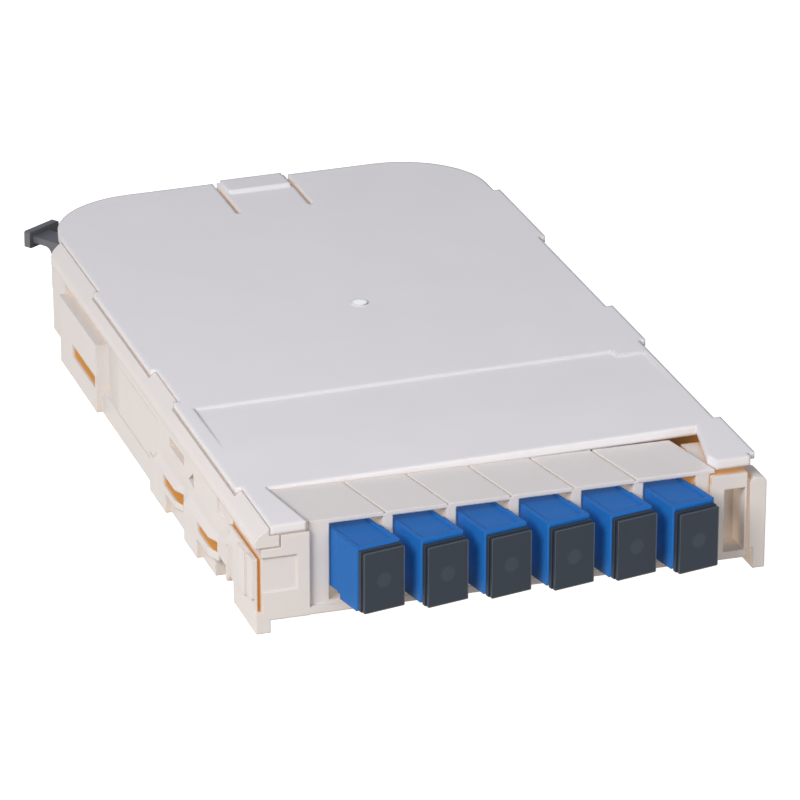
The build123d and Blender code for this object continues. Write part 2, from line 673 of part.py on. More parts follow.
def latch_seat():
    # Pin with its boss on the tray floor
    x, y = LATCH_PIVOT
    return rod(x, y, BOSS_R, FLOOR_TOP - 0.2, LATCH_UNDER - 0.3) + rod(x, y, PIN_R, FLOOR_TOP, PIN_TOP)


def latch_slot():
    # Slot in the corner wall, wide enough for the arm's swing
    sweep_out = LATCH_RISER[1] * math.sin(math.radians(LATCH_SWING)) + LATCH_SLOT_CLEAR
    x0 = LATCH_ARM[0] - sweep_out
    x1 = LATCH_ARM[1] + sweep_out
    return latch_plan(box(x0, x1, LATCH_SLOT_START, LATCH_REACH, LATCH_UNDER - 0.6, REAR_WALL_TOP + 1))


def drum():
    # Ring wall for the fibre loops, open at four places, with flat tongues over the lanes
    x, y = DRUM
    ring = rod(x, y, DRUM_R, FLOOR_TOP - 0.2, DRUM_TOP) - rod(x, y, DRUM_R - DRUM_WALL, 0, DRUM_TOP + 1)
    gap = DRUM_GAP / 2
    ring -= box(x - DRUM_R - 1, x + DRUM_R + 1, y - gap, y + gap, FLOOR_TOP, DRUM_TOP + 1)
    ring -= box(x - gap, x + gap, y - DRUM_R - 1, y + DRUM_R + 1, FLOOR_TOP, DRUM_TOP + 1)
    half = TAB_WIDE / 2
    for angle in (45, 135, 225, 315):
        tongue = box(DRUM_R - DRUM_WALL, DRUM_R + TAB_LONG, -half, half, DRUM_TOP - TAB_THICK, DRUM_TOP)
        ring += Pos(x, y, 0) * Rot(0, 0, angle) * tongue
    return ring


def wall_tongues():
    # Flat tongues from the side walls over the fibre lanes
    parts = []
    x0 = TRAY_LEFT + WALL - 0.3
    for y in TONGUES_Y:
        parts.append(box(x0, x0 + TAB_LONG, y, y + TAB_WIDE, DRUM_TOP - TAB_THICK, DRUM_TOP))
    return parts


def tray():
    part = tray_shell()
    left = side_feet() + side_pads()
    part += left
    part += [mirrored(p) for p in left]
    part -= box(TRAY_LEFT - 5, BLOCK_LEFT, -1, ARM_REAR, FLOOR_TOP, SHOULDER + 1)
    part -= box(TRAY_RIGHT - RAIL_WIDTH - 1, TRAY_RIGHT + 5, -1, POST_DEEP, -1, REAR_WALL_TOP + 1)
    band = side_band()
    behind = box(BAND_LEFT - 1, BAND_LEFT + BAND_WIDE + 1, POCKET_REAR, BAND_END, 0, BAND_TOP + 1)
    part += [front_left_block(), flexible_arm(), front_right_corner(), pocket_block()]
    part += [band, mirrored(band & behind)]
    part -= block_lines()
    cuts = side_wall_cuts()
    part -= cuts
    part -= [mirrored(c) for c in cuts]
    part += drum()
    tongues = wall_tongues()
    part += tongues
    part += [mirrored(t) for t in tongues]
    part -= latch_slot()
    part += latch_seat()
    # Cable inlet in the rear wall, near the right corner
    wide, z0, z1 = INLET
    x = DOME_RIGHT - DOME_R - wide
    part -= box(x - wide, x, TRAY_REAR - WALL - 2, TRAY_REAR + 1, z0, z1)
    return part


def lane_x(index):
    return LANE_LEFT + LANE_PITCH * index


def loop_radius(index):
    return DRUM[0] - lane_x(index)


def splice_holder():
    # Comb block on the floor; each slot is in line with a fibre lane
    last = DRUM[0] + loop_radius(PORTS - 1)
    first = DRUM[0] + loop_radius(0)
    x0 = last - HOLDER_EDGE
    x1 = first + HOLDER_EDGE
    part = box(x0, x1, HOLDER_FRONT, HOLDER_REAR, FLOOR_TOP, HOLDER_TOP)
    slot_under = LANE_Z - FIBRE_R - 0.05
    for i in range(PORTS):
        x = DRUM[0] + loop_radius(i)
        half = SPLICE_SLOT / 2
        part -= box(x - half, x + half, HOLDER_FRONT - 1, HOLDER_REAR + 1, slot_under, HOLDER_TOP + 1)
    middle = (HOLDER_FRONT + HOLDER_REAR) / 2
    return part - box(x0 - 1, x1 + 1, middle - 4, middle + 4, FLOOR_TOP + HOLDER_BASE, HOLDER_TOP + 1)


def round_path(points):
    # Straight runs joined by tangent arcs. Returns the wire and the smallest arc radius
    corners = [Vector(*p) for p in points]
    edges = []
    start = corners[0]
    smallest = 1e9
    for before, here, after in zip(corners, corners[1:], corners[2:]):
        back = (before - here).normalized()
        ahead = (after - here).normalized()
        turn = math.pi - math.acos(max(-1, min(1, back.dot(ahead))))
        share_back = 0.9 if before is corners[0] else 0.45
        share_ahead = 0.9 if after is corners[-1] else 0.45
        reach = min(share_back * (before - here).length, share_ahead * (after - here).length)
        smallest = min(smallest, reach / math.tan(turn / 2))
        a = here + back * reach
        b = here + ahead * reach
        centre_way = (back + ahead).normalized()
        radius = reach / math.tan(turn / 2)
        centre = here + centre_way * (radius / math.cos(turn / 2))
        middle = centre - centre_way * radius
        edges.append(Line(start, a))
        edges.append(ThreePointArc(a, middle, b))
        start = b
    edges.append(Line(start, corners[-1]))
    return Wire(edges), smallest


def pigtail(index):
    # From the boot down to the floor, left to its lane, round the drum and into the splice holder
    turn = math.radians(ANGLE)
    d = (-math.sin(turn), math.cos(turn))
    tail = ADAPTER_LEN + PLUG_TAIL + PLUG_NECK + BOOT_LEN
    x = ADAPTER_FACE[0] + PITCH * index
    y = ADAPTER_FACE[1]
    z = ADAPTER_BOTTOM + ADAPTER_H / 2
    start = (x + d[0] * tail, y + d[1] * tail, z)
    out = (start[0] + d[0] * BOOT_RUN, start[1] + d[1] * BOOT_RUN, z)
    lane = lane_x(index)
    radius = loop_radius(index)
    joins = out[1] + abs(out[0] - lane) * DIAGONAL + 10.0
    half_x = (out[0] + lane) / 2
    half_y = (out[1] + joins) / 2
    points = [start, out]
    if index > 1:
        points.append((half_x, half_y - 1.5, (z + LANE_Z) / 2 - 1))
    points.append((lane, joins, LANE_Z))
    centre_x, centre_y = DRUM
    rest = centre_y - joins
    if rest > 40:
        points.append((lane - 0.2, joins + rest / 2, LANE_Z))
    for angle in (157.5, 112.5, 67.5, 22.5):
        a = math.radians(angle)
        reach = radius / math.cos(math.radians(22.5))
        points.append((centre_x + reach * math.cos(a), centre_y + reach * math.sin(a), LANE_Z))
    points.append((centre_x + radius, HOLDER_REAR - SPLICE_IN, LANE_Z))
    path, smallest = round_path(points)
    print("pigtail", index + 1, "length", round(path.length, 1), "smallest radius", round(smallest, 1))
    profile = Plane(origin=start, z_dir=(d[0], d[1], 0)) * RegularPolygon(FIBRE_R, 6)
    return sweep(profile, path=path)


def build():
    nodes = {"tray": tray(), "lid": lid(), "release_latch": release_latch(), "splice_holder": splice_holder()}
    makers = {
        "adapter": adapter,
        "sleeve_holder": sleeve_holder,
        "sleeve": sleeve,
        "plug": plug,
        "boot": boot,
        "dust_cap": dust_cap,
    }
    for name, maker in makers.items():
        shape = maker()
        for i in range(PORTS):
            drop = CAP_SAG[i] if name == "dust_cap" else 0
            nodes[name + "_" + str(i + 1)] = in_adapter_frame(Pos(0, 0, -drop) * shape, i)
    for i in range(PORTS):
        nodes["pigtail_" + str(i + 1)] = pigtail(i)
    whole = Compound(children=[s for part in nodes.values() for s in part.solids()])
    bounds = whole.bounding_box()
    shift = Pos(-bounds.center().X, -bounds.center().Y, -bounds.min.Z)
    print("shift", round(-bounds.center().X, 4), round(-bounds.center().Y, 4), round(-bounds.min.Z, 4))
    print("size", [round(v, 3) for v in (bounds.size.X, bounds.size.Y, bounds.size.Z)])
    return {name: shift * part for name, part in nodes.items()}


PARTS = build()
for name, part in PARTS.items():
    if len(part.solids()) != 1:
        print(name, "solids", len(part.solids()))
    export_step(part, "parts/" + name + ".step")
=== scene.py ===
import math

import bpy
import numpy as np
from mathutils import Matrix, Vector

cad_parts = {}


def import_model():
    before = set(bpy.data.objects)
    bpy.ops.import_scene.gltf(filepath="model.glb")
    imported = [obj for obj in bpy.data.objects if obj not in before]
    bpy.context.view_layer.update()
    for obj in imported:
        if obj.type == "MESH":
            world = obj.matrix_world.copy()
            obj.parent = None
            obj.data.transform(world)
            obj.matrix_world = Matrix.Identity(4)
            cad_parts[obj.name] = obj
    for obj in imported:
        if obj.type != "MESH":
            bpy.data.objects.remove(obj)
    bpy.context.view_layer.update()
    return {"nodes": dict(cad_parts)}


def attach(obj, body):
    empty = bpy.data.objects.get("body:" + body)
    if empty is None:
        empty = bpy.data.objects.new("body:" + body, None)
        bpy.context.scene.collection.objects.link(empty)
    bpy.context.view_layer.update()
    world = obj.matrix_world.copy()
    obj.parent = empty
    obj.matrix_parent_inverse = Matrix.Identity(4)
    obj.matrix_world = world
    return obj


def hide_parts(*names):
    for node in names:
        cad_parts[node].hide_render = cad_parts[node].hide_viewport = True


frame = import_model()


# Tray: the base moulding, with its floor, walls, corner blocks, flexible arm and angled pockets.
# Real one: PBT, a warm ivory plastic, injection moulded in a spark-eroded tool, so it is satin with
# a fine even grain and slightly round edges, and light that goes into its gaps comes out amber.
# Here that amber, and the shade and glow in creases, are painted into the colour.

MM = 0.001
BLACK = (0.0, 0.0, 0.0, 1.0)

# All the plastics: clouds of colour, grain and the change of roughness with it
CLOUD_MM = 15.0
CLOUD_DETAIL = 3.0
CLOUD_CHANGE = 0.03
GRAIN_DETAIL = 2.0
GRAIN_SPAN = (0.3, 0.7)
GRAIN_STRENGTH = 0.12
GRAIN_DEPTH_MM = 0.03
ROUGH_CHANGE = 0.05
PLASTIC_IOR = 1.5
EDGE_SAMPLES = 6
# Painted shade and glow in creases: how far they look around, and the open share where they are
# full and where they end
CREASE_MM = 6.0
CREASE_OPEN = (0.1, 0.42)
OPEN_SAMPLES = 8
# Strength of the painted glow in creases and of the painted glow that stands for light through the
# walls
PAINTED_GLOW_STRENGTH = 0.65
# Upright faces, painted lighter as a highlight: the normal's Z where they are full and where they
# end
UPRIGHT = (0.3, 0.9)

IVORY = "#CFC9C6"
# Painted shade in creases, and painted glow in them
IVORY_SHADED = "#A8917C"
IVORY_CREASE_GLOW = "#B4A595"
# A painted amber glow and the darker painted base under it, which stand for light that comes
# through the walls
IVORY_GLOW = "#B97B36"
IVORY_AMBER = "#94703F"
IVORY_GRAIN_MM = 0.32
IVORY_EDGE_MM = 0.4
# The painted amber glow shows inside the tray: between the walls, above the floor and below the
# lid's ledge, but not in the pockets in front. The open share where it is full and where it ends is
# a pair again
INSIDE_MM = 25.0
INSIDE_OPEN = (0.12, 0.45)
WALL_INSIDE = -48.6
FLOOR_FACE = 4.3
LEDGE_FACE = 18.6
POCKETS_BACK = -66.4
# It also shows in the slit on the left of the corner block: left, right, rear
SLIT = (-50.05, -48.85, -65.0)
# And round the right end block: the corner's left, the block's left, the block's top
END_CORNER = (36.0, 40.4, 18.5)
# And in the windows of the left wall's pads, from just behind their faces: start, end, bottom, top
PAD_FACE = -51.1
PAD_FADE = 0.4
PAD_DEPTH = 3.5
WINDOW_RIM = 0.05
WINDOWS = [(-57.5, -47.1, 5.9, 7.9), (-33.5, -22.4, 5.5, 7.7), (30.6, 49.1, 5.0, 7.6)]


def linear(hex_colour):
    """sRGB hex to linear RGBA: each channel c is c / 12.92 up to 0.04045, and above it
    ((c + 0.055) / 1.055) to the power of 2.4."""
    channels = [int(hex_colour[i:i + 2], 16) / 255 for i in (1, 3, 5)]
    flat = [c / 12.92 if c <= 0.04045 else ((c + 0.055) / 1.055) ** 2.4 for c in channels]
    return (*flat, 1.0)


def add(tree, kind, inputs=None, **settings):
    """Adds one node. Settings are its properties. Each input, by name or number, is a value or a
    socket to link."""
    made = tree.nodes.new(kind)
    for name, value in settings.items():
        setattr(made, name, value)
    for name, value in (inputs or {}).items():
        if isinstance(value, bpy.types.NodeSocket):
            tree.links.new(value, made.inputs[name])
        else:
            made.inputs[name].default_value = value
    return made


def mix(tree, share, first, second):
    """The first colour where the share is 0, the second where it is 1, in proportion between."""
    inputs = {0: share, 6: first, 7: second}
    return add(tree, "ShaderNodeMix", inputs, data_type="RGBA").outputs[2]


def ramp(tree, value, start, end, first=0.0, last=1.0, smooth=False):
    """First up to the start, last from the end on, straight between or with soft ends: the share t
    of the way is then t times t times (3 - 2 t)."""
    inputs = {"Value": value, "From Min": start, "From Max": end, "To Min": first, "To Max": last}
    way = "SMOOTHSTEP" if smooth else "LINEAR"
    return add(tree, "ShaderNodeMapRange", inputs, interpolation_type=way).outputs[0]


def maths(tree, way, first, *others):
    """Carries one operation through all the values, from the first to the last."""
    for other in others:
        first = add(tree, "ShaderNodeMath", {0: first, 1: other}, operation=way).outputs[0]
    return first


def closed_share(tree, reach_mm, span):
    """1 where as little of the room around is open as the span's start says, 0 from its end on."""
    inputs = {"Distance": reach_mm * MM}
    openness = add(tree, "ShaderNodeAmbientOcclusion", inputs, samples=OPEN_SAMPLES).outputs["AO"]
    return ramp(tree, openness, *span, 1.0, 0.0, smooth=True)


def painted_glow_share(tree, place):
    """How much of the painted amber glow a point shows. Inside the tray it goes by how closed in
    the point is, within the limits above. In a pad's window it is full from a short way behind the
    pad's face."""
    axes = add(tree, "ShaderNodeSeparateXYZ", {0: place})

    def past(axis, limit):
        return maths(tree, "GREATER_THAN", axes.outputs[axis], limit * MM)

    def before(axis, limit):
        return maths(tree, "LESS_THAN", axes.outputs[axis], limit * MM)

    def where_all(*shares):
        return maths(tree, "MULTIPLY", *shares)

    room = where_all(past("X", WALL_INSIDE), past("Z", FLOOR_FACE), before("Z", LEDGE_FACE),
                     past("Y", POCKETS_BACK))
    slit_left, slit_right, slit_rear = SLIT
    slit = where_all(past("X", slit_left), before("X", slit_right), before("Y", slit_rear))
    corner_left, block_left, block_top = END_CORNER
    beside = maths(tree, "MAXIMUM", before("X", block_left), past("Z", block_top))
    corner = where_all(beside, past("X", corner_left))
    share = where_all(maths(tree, "MAXIMUM", room, slit, corner),
                      closed_share(tree, INSIDE_MM, INSIDE_OPEN))

    behind = ramp(tree, axes.outputs["X"], PAD_FACE * MM, (PAD_FACE + PAD_FADE) * MM)
    in_wall = where_all(behind, before("X", PAD_FACE + PAD_DEPTH))
    for start, end, bottom, top in WINDOWS:
        window = where_all(past("Y", start - WINDOW_RIM), before("Y", end + WINDOW_RIM),
                           past("Z", bottom - WINDOW_RIM), before("Z", top + WINDOW_RIM), in_wall)
        share = maths(tree, "MAXIMUM", share, window)
    return share


def moulded_plastic(name, colour, rough, grain_mm, edge_mm, gloss=0.5, rim=None, crease=None,
                    far_crease_glow=None, glow=None):
    """Injection moulded plastic: its colour with clouds of a few percent, a spark-eroded grain as
    bump, and edges rounded in the shading. Upright faces take the rim colour, painted lighter as a
    highlight. Creases mix towards the first colour of the pair crease, a painted shade, and glow
    with the second, painted light for the light that the plastic scatters into them. Past the Y in
    the far glow pair, in mm, the glow colour there takes that second one's place. The pair glow is
    the same for points that are nearly closed in: a painted darker base and a painted glow, which
    stand for light that comes through the walls."""
    made = bpy.data.materials.new(name)
    made.use_nodes = True
    tree = made.node_tree
    tree.nodes.clear()
    place = add(tree, "ShaderNodeTexCoord").outputs["Object"]
    clouds, grain = [add(tree, "ShaderNodeTexNoise", {"Vector": place, "Scale": 1 / (size * MM),
                                                      "Detail": detail}).outputs["Fac"]
                     for size, detail in ((CLOUD_MM, CLOUD_DETAIL), (grain_mm, GRAIN_DETAIL))]
    base = linear(colour)[:3]
    dim = (*[c * (1 - CLOUD_CHANGE) for c in base], 1.0)
    lit = (*[min(1.0, c * (1 + CLOUD_CHANGE)) for c in base], 1.0)
    shade = mix(tree, clouds, dim, lit)
    # Upright faces painted in the rim colour, a painted highlight
    if rim:
        normal = add(tree, "ShaderNodeNewGeometry").outputs["True Normal"]
        upwards = add(tree, "ShaderNodeSeparateXYZ", {0: normal}).outputs["Z"]
        shade = mix(tree, ramp(tree, upwards, *UPRIGHT, 1.0, 0.0), shade, linear(rim))
    light = BLACK
    # Painted shade and painted glow in creases, by how closed in a point is
    if crease:
        painted_crease_shade, crease_glow = [linear(part) for part in crease]
        share = closed_share(tree, CREASE_MM, CREASE_OPEN)
        if far_crease_glow:
            start, far_colour = far_crease_glow
            rearward = add(tree, "ShaderNodeSeparateXYZ", {0: place}).outputs["Y"]
            is_far = maths(tree, "GREATER_THAN", rearward, start * MM)
            crease_glow = mix(tree, is_far, crease_glow, linear(far_colour))
        shade, light = mix(tree, share, shade, painted_crease_shade), mix(tree, share, light, crease_glow)
    # Painted darker amber base and painted amber glow where light would come through the walls
    if glow:
        glow_base, glow_light = [linear(part) for part in glow]
        share = painted_glow_share(tree, place)
        shade, light = mix(tree, share, shade, glow_base), mix(tree, share, light, glow_light)
    satin = ramp(tree, grain, *GRAIN_SPAN, rough - ROUGH_CHANGE, rough + ROUGH_CHANGE)
    edges = add(tree, "ShaderNodeBevel", {"Radius": edge_mm * MM}, samples=EDGE_SAMPLES).outputs[0]
    bump = add(tree, "ShaderNodeBump", {"Height": grain, "Strength": GRAIN_STRENGTH,
                                        "Distance": GRAIN_DEPTH_MM * MM, "Normal": edges})
    shader = add(tree, "ShaderNodeBsdfPrincipled", {
        "Base Color": shade, "Roughness": satin, "IOR": PLASTIC_IOR, "Specular IOR Level": gloss,
        "Normal": bump.outputs[0], "Emission Color": light,
        "Emission Strength": PAINTED_GLOW_STRENGTH if crease or glow else 0.0})
    add(tree, "ShaderNodeOutputMaterial", {"Surface": shader.outputs[0]})
    return made


def finish_node(name, material):
    """Gives a carried CAD node its finish: its only material slot takes this material."""
    mesh = frame["nodes"][name].data
    mesh.materials.clear()
    mesh.materials.append(material)


ivory = moulded_plastic("Ivory moulded PBT", IVORY, rough=0.45, grain_mm=IVORY_GRAIN_MM,
                        edge_mm=IVORY_EDGE_MM, crease=(IVORY_SHADED, IVORY_CREASE_GLOW),
                        glow=(IVORY_AMBER, IVORY_GLOW))
finish_node("tray", ivory)


# Roof end: the tray's roof plate over the last port runs on to the right as far as the end block,
# with a wall below its front. It is part of the tray's moulding, set here as a skin of the same
# ivory over the plate and beyond it.

# What takes the roof end and the caps from the CAD source's own coordinates to the frame, in mm
CAD_SHIFT = np.array((-49.0726, -83.4248, 0.0))
PORT_TURN = math.radians(12.0)
ROOF_FRONT, ROOF_BACK = 0.94, 16.9
ROOF_UNDER, ROOF_TOP = 20.55, 21.42
ROOF_LEFT, ROOF_RIGHT = 74.85, 90.6
ROOF_ROUND = 0.12
ROOF_STEPS = 4
END_WALL_LEFT, END_WALL_RIGHT = 86.75, 89.55
END_WALL_FOOT = 3.65
END_WALL_THICK = 1.4


def closed_mesh(name, shells, material, body):
    """One object from closed shells, each an array of rings of points (ring, point, xyz in mm):
    quads join each ring to the next, and one face closes each end, so the shell is shut."""
    points, faces, start = [], [], 0
    for rings in shells:
        rows, count = rings.shape[:2]
        points.append(rings.reshape(-1, 3))
        row, column = np.meshgrid(np.arange(rows - 1), np.arange(count), indexing="ij")
        beside = (column + 1) % count
        quads = np.stack([row * count + column, row * count + beside,
                          (row + 1) * count + beside, (row + 1) * count + column], axis=-1)
        faces += (quads.reshape(-1, 4) + start).tolist()
        faces.append((np.arange(count)[::-1] + start).tolist())
        faces.append((np.arange(count) + (rows - 1) * count + start).tolist())
        start += rows * count
    mesh = bpy.data.meshes.new(name)
    mesh.from_pydata((np.concatenate(points) * MM).tolist(), [], faces)
    mesh.materials.append(material)
    made = bpy.data.objects.new(name, mesh)
    bpy.context.scene.collection.objects.link(made)
    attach(made, body)
    return made


def quarter_turn(steps):
    """Angles from 0 to 90 degrees in even steps."""
    return np.linspace(0, math.pi / 2, steps + 1)


def prism(plan, low, high, rounding):
    """A plan of corners, counter-clockwise from above, carried from low to high. Its upper edge is
    a quarter circle: at an angle t of it the ring is the rounding times (1 - sin t) below high, and
    stands in by the rounding times (1 - cos t). A rounding of 0 puts these rings on one another."""
    plan = np.array(plan, float)
    inwards = np.sign(plan.mean(axis=0) - plan)
    turn = quarter_turn(ROOF_STEPS)
    heights = np.concatenate([[low], high - rounding * (1 - np.sin(turn))])
    insets = np.concatenate([[0.0], rounding * (1 - np.cos(turn))])
    flat = plan[None, :, :] + insets[:, None, None] * inwards[None, :, :]
    tall = np.broadcast_to(heights[:, None, None], flat.shape[:2] + (1,))
    return np.concatenate([flat, tall], axis=-1) + CAD_SHIFT


slant = math.tan(PORT_TURN) * (ROOF_BACK - ROOF_FRONT)
roof_plan = [(ROOF_LEFT, ROOF_FRONT), (ROOF_RIGHT, ROOF_FRONT),
             (ROOF_RIGHT - slant, ROOF_BACK), (ROOF_LEFT - slant, ROOF_BACK)]
wall_back = ROOF_FRONT + END_WALL_THICK
wall_plan = [(END_WALL_LEFT, ROOF_FRONT), (END_WALL_RIGHT, ROOF_FRONT),
             (END_WALL_RIGHT, wall_back), (END_WALL_LEFT, wall_back)]
closed_mesh("roof_end", [prism(roof_plan, ROOF_UNDER, ROOF_TOP, ROOF_ROUND),
                         prism(wall_plan, END_WALL_FOOT, ROOF_UNDER, 0.0)],
            ivory, "module")


# Splice holder: a comb that keeps the six splices side by side, pressed on the tray's floor.
# Real one: a white, slightly softer plastic with a matt natural finish, moulded in one shot.

HOLDER_WHITE = "#E9E7E0"
holder_white = moulded_plastic("White moulded comb plastic", HOLDER_WHITE, rough=0.5, grain_mm=0.3,
                               edge_mm=0.2)
finish_node("splice_holder", holder_white)


# Release latch: a small dark lever with a cross bar, which turns on a pin in the rear left corner.
# Real one: acetal, moulded in charcoal, satin, with slightly round edges.

LATCH_DARK = "#55565C"
latch_dark = moulded_plastic("Charcoal moulded acetal", LATCH_DARK, rough=0.38, grain_mm=0.3,
                             edge_mm=0.3)
finish_node("release_latch", latch_dark)


# Adapters: six blue housings for push-pull fibre plugs, one in each angled pocket. Inside each are
# a white holder with spring clips, a slotted sleeve sintered from zirconia, the inner plug, its
# rubber boot and a thin fibre pigtail in a yellow jacket.

PORTS = 6
ADAPTER_BLUE = "#1D61A8"
# Painted shade and painted glow in the adapters' creases
ADAPTER_CREASE_SHADE_GLOW = "#1A4A84"
INNER_WHITE = "#D9D8D2"
ZIRCONIA_WHITE = "#F1EEE6"
BOOT_WHITE = "#E2E3E4"
JACKET_YELLOW = "#E6C23A"
adapter_blue = moulded_plastic("Blue moulded adapter plastic", ADAPTER_BLUE, rough=0.36,
                               grain_mm=0.3, edge_mm=0.25, gloss=0.12,
                               crease=(ADAPTER_CREASE_SHADE_GLOW, ADAPTER_CREASE_SHADE_GLOW))
inner_white = moulded_plastic("White moulded holder plastic", INNER_WHITE, rough=0.45,
                              grain_mm=0.3, edge_mm=0.15)
zirconia = moulded_plastic("White sintered zirconia", ZIRCONIA_WHITE, rough=0.15, grain_mm=0.2,
                           edge_mm=0.05)
boot_rubber = moulded_plastic("White boot rubber", BOOT_WHITE, rough=0.55, grain_mm=0.3,
                              edge_mm=0.15)
jacket = moulded_plastic("Yellow fibre jacket", JACKET_YELLOW, rough=0.4, grain_mm=0.3,
                         edge_mm=0.1)
for port in range(1, PORTS + 1):
    for piece, material in (("adapter", adapter_blue), ("sleeve_holder", inner_white),
                            ("sleeve", zirconia), ("plug", adapter_blue),
                            ("boot", boot_rubber), ("pigtail", jacket)):
        finish_node(f"{piece}_{port}", material)


# Dust caps: a soft plug for each port, with a front plate on a wider back plate, two tongues that
# go into the port, and a faint round mark in the middle. Real one: thermoplastic rubber, moulded,
# dark blue-grey, matt. The rim of its face is painted paler, a painted highlight.

CAP_GREY = "#2D3540"
CAP_MARK = "#434D59"
CAP_EDGE_HIGHLIGHT = "#73767B"
FIRST_PORT = np.array((20.4, -8.2, 12.8))
PORT_PITCH = 12.5
# How far each cap hangs below the middle of its port
CAP_SAG = (0.1, 0.55, 0.4, 0.5, 0.2, 0.55)
# Half width, half height, corner radius, front and back along the port, rounding of the rims
CAP_FRONT_PLATE = (4.35, 6.12, 0.25, -2.0, -1.22, 0.12)
CAP_NECK = (3.9, 5.6, 0.25, -1.4, -0.8, 0.0)
CAP_BACK_PLATE = (4.45, 6.2, 0.25, -0.98, -0.05, 0.1)
CAP_TONGUE = (3.55, 0.45, 0.2, -0.2, 7.4, 0.1)
CAP_STEPS = 3
# How far the front plate is off the middle, and how far the tongues are above and below it
CAP_FRONT_OFF = (0.1, 0.0, -0.07)
CAP_TONGUE_OFF = (0.0, 0.0, 3.45)
# The mark: its radius, the share of it with the full strength, and that strength
MARK_R = 1.9
MARK_CORE = 0.6
MARK_STRENGTH = 0.4
# The painted highlight on the rim of the face: its width and its strength at the edge
EDGE_HIGHLIGHT_WIDTH = 0.22
EDGE_HIGHLIGHT_STRENGTH = 0.8
# The face is what lies in front of this depth. A point off it gets a coordinate past its reach
FACE_DEPTH = -1.9
FACE_REACH = 8.0
OFF_FACE = 9.0


def rounded_slab(half_w, half_h, corner, front, back, rim):
    """Rings of a rectangle with round corners, carried along the port. Each ring is four arcs about
    the same four centres. Both ends are rounded on a quarter circle: at an angle t of it the ring
    is the rim times (1 - cos t) from the end, and its arcs' radius is less by the rim times
    (1 - sin t). A rim of 0 puts the rings of each end on one another."""
    arc = quarter_turn(CAP_STEPS)
    angles = np.concatenate([arc + side * math.pi / 2 for side in range(4)])[::-1]
    sides = np.repeat(np.array([(1, -1), (-1, -1), (-1, 1), (1, 1)]), len(arc), axis=0)
    centres = sides * (half_w - corner, half_h - corner)
    turn = quarter_turn(CAP_STEPS)
    radius = corner - rim * (1 - np.sin(np.concatenate([turn, turn[::-1]])))
    depth = np.concatenate([front + rim * (1 - np.cos(turn)),
                            back - rim * (1 - np.cos(turn[::-1]))])
    outwards = np.stack([np.cos(angles), np.sin(angles)], axis=-1)
    across = centres[None] + radius[:, None, None] * outwards[None]
    along = np.broadcast_to(depth[:, None], across.shape[:2])
    return np.stack([across[..., 0], along, across[..., 1]], axis=-1)


def at_port(rings, index, sag):
    """Turns points from the port's own frame, where Y goes into the port, by the ports' angle about
    Z, and moves them to the port's face."""
    c, s = math.cos(PORT_TURN), math.sin(PORT_TURN)
    turned = rings @ np.array([[c, s, 0], [-s, c, 0], [0, 0, 1]])
    return turned + FIRST_PORT + (PORT_PITCH * index, 0, -sag) + CAD_SHIFT


def paint_over(material, share, colour):
    """Mixes the material's base colour towards another colour by the share."""
    tree = material.node_tree
    shader = next(node for node in tree.nodes if node.type == "BSDF_PRINCIPLED")
    base = shader.inputs["Base Color"]
    tree.links.new(mix(tree, share, base.links[0].from_socket, linear(colour)), base)


cap_rubber = moulded_plastic("Grey moulded cap rubber", CAP_GREY, rough=0.4, grain_mm=0.3,
                             edge_mm=0.22, gloss=0.2)
tree = cap_rubber.node_tree
from_middle = add(tree, "ShaderNodeUVMap", uv_map="from_middle").outputs["UV"]
away = add(tree, "ShaderNodeVectorMath", {0: from_middle}, operation="LENGTH").outputs["Value"]
mark = ramp(tree, away, MARK_CORE * MARK_R, MARK_R, MARK_STRENGTH, 0.0, smooth=True)
paint_over(cap_rubber, mark, CAP_MARK)
# The rim of the face is painted paler, a painted highlight
aside = add(tree, "ShaderNodeVectorMath", {0: from_middle}, operation="ABSOLUTE")
aside = add(tree, "ShaderNodeSeparateXYZ", {0: aside.outputs["Vector"]})
edge_highlights = [ramp(tree, aside.outputs[axis], half - EDGE_HIGHLIGHT_WIDTH, half, 0.0, EDGE_HIGHLIGHT_STRENGTH)
        for axis, half in zip("XY", CAP_FRONT_PLATE)]
on_face = maths(tree, "LESS_THAN", away, FACE_REACH)
edge_highlight = maths(tree, "MULTIPLY", maths(tree, "MAXIMUM", *edge_highlights), on_face)
paint_over(cap_rubber, edge_highlight, CAP_EDGE_HIGHLIGHT)

tongue = rounded_slab(*CAP_TONGUE)
shells = [rounded_slab(*CAP_FRONT_PLATE) + CAP_FRONT_OFF, rounded_slab(*CAP_NECK),
          rounded_slab(*CAP_BACK_PLATE), tongue + CAP_TONGUE_OFF, tongue - CAP_TONGUE_OFF]
local = np.concatenate([shell.reshape(-1, 3) for shell in shells])
face_uv = np.where(local[:, 1:2] < FACE_DEPTH, local[:, [0, 2]], OFF_FACE).astype(np.float32)
for index, sag in enumerate(CAP_SAG):
    cap = closed_mesh(f"cap_{index + 1}", [at_port(shell, index, sag) for shell in shells],
                      cap_rubber, f"dust_cap_{index + 1}")
    corners = np.zeros(len(cap.data.loops), dtype=np.int32)
    cap.data.loops.foreach_get("vertex_index", corners)
    uv_map = cap.data.uv_layers.new(name="from_middle")
    uv_map.data.foreach_set("uv", face_uv[corners].ravel())
    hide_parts(f"dust_cap_{index + 1}")


# Lid: the cover plate, with side tabs, front ears, a label recess and a snap tab at its rear edge.
# Real one: polycarbonate blend, moulded in a cooler grey-white than the tray, with the same fine
# spark grain.

LID_WHITE = "#D8D5D6"
# The next colour is painted on the lid's upright faces, a painted highlight
LID_UPRIGHT_HIGHLIGHT = "#DBD8D9"
# Painted shade and painted glow in the lid's creases
LID_SHADED = "#A9A3A2"
LID_CREASE_GLOW = "#B3AAA6"
